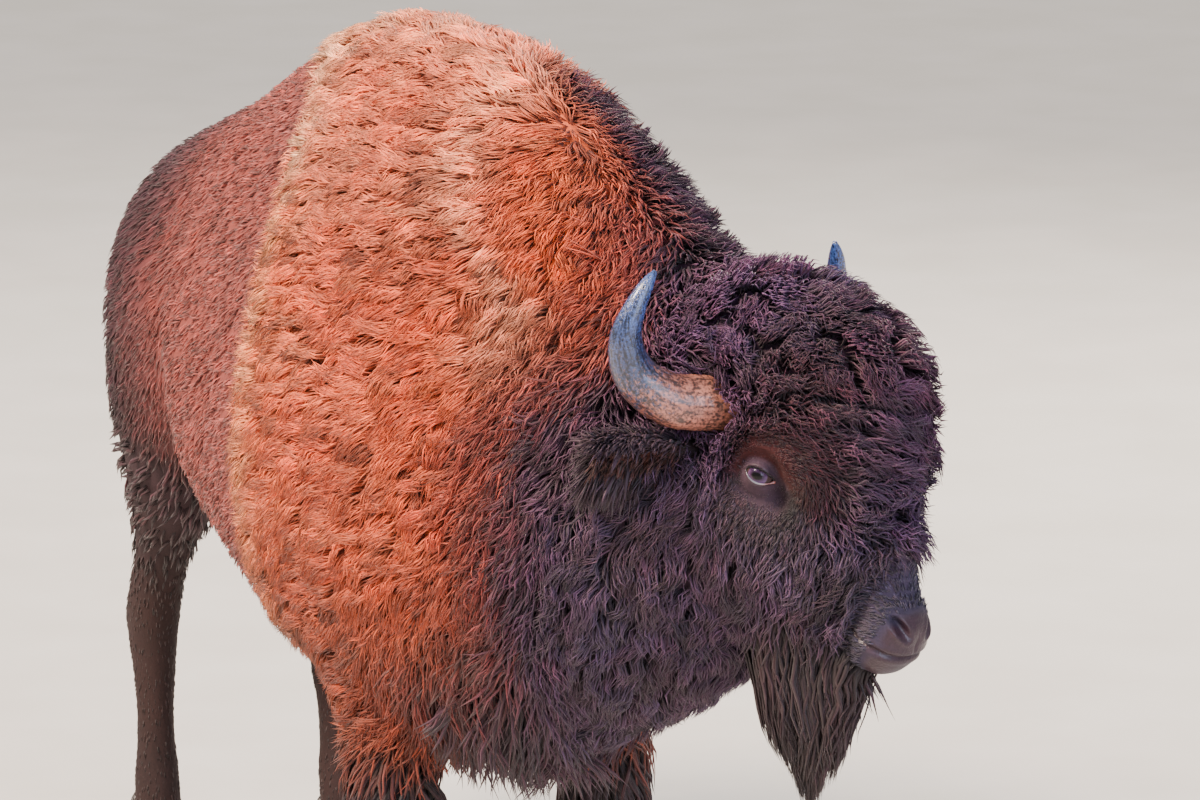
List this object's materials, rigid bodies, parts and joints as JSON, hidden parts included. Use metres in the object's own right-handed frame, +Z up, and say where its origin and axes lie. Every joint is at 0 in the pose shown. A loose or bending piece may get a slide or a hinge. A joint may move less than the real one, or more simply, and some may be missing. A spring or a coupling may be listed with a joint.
{
  "type": "american bison",
  "caption": "Life-size standing bison bull in shaggy winter coat, head lowered and turned to its left, a still model on its own hooves",
  "frame": {"origin": "on the floor, under the middle of the whole model's box", "axes": "+X along the trunk towards the chest, +Y to the animal's left, +Z up; the soles lie on Z = 0"},
  "size_m": [2.785, 0.8486, 1.8038],
  "materials": {
    "dark_brown_coat": "long woolly hair, matt",
    "cape_coat": "dense wavy hair, matt",
    "rump_coat": "short dense hair, matt",
    "long_dark_hair": "long straight hanging hair",
    "nose_skin": "moist bare skin between short hair",
    "ear_coat": "short hair",
    "horn": "horn, rough at the base and polished at the tip",
    "hoof": "horn, dull",
    "eye": "wet, polished"
  },
  "bodies": {
    "root": {"barrel": "cape_coat", "beard": "long_dark_hair", "dewclaw_fore_left_a": "hoof", "dewclaw_fore_left_b": "hoof", "dewclaw_fore_right_a": "hoof", "dewclaw_fore_right_b": "hoof", "dewclaw_hind_left_a": "hoof", "dewclaw_hind_left_b": "hoof", "dewclaw_hind_right_a": "hoof", "dewclaw_hind_right_b": "hoof", "ear_left": "ear_coat", "ear_right": "ear_coat", "eye_left": "eye", "eye_right": "eye", "foreleg_lower_left": "dark_brown_coat", "foreleg_lower_right": "dark_brown_coat", "foreleg_upper_left": "long_dark_hair", "foreleg_upper_right": "long_dark_hair", "head": "dark_brown_coat", "hind_leg_lower_left": "dark_brown_coat", "hind_leg_lower_right": "dark_brown_coat", "hind_leg_upper_left": "rump_coat", "hind_leg_upper_right": "rump_coat", "hindquarters": "rump_coat", "hoof_fore_left_a": "hoof", "hoof_fore_left_b": "hoof", "hoof_fore_right_a": "hoof", "hoof_fore_right_b": "hoof", "hoof_hind_left_a": "hoof", "hoof_hind_left_b": "hoof", "hoof_hind_right_a": "hoof", "hoof_hind_right_b": "hoof", "horn_left": "horn", "horn_right": "horn", "muzzle": "nose_skin", "neck": "dark_brown_coat", "shoulders": "cape_coat", "tail": "rump_coat", "tail_tassel": "long_dark_hair"}
  },
  "joints": []
}
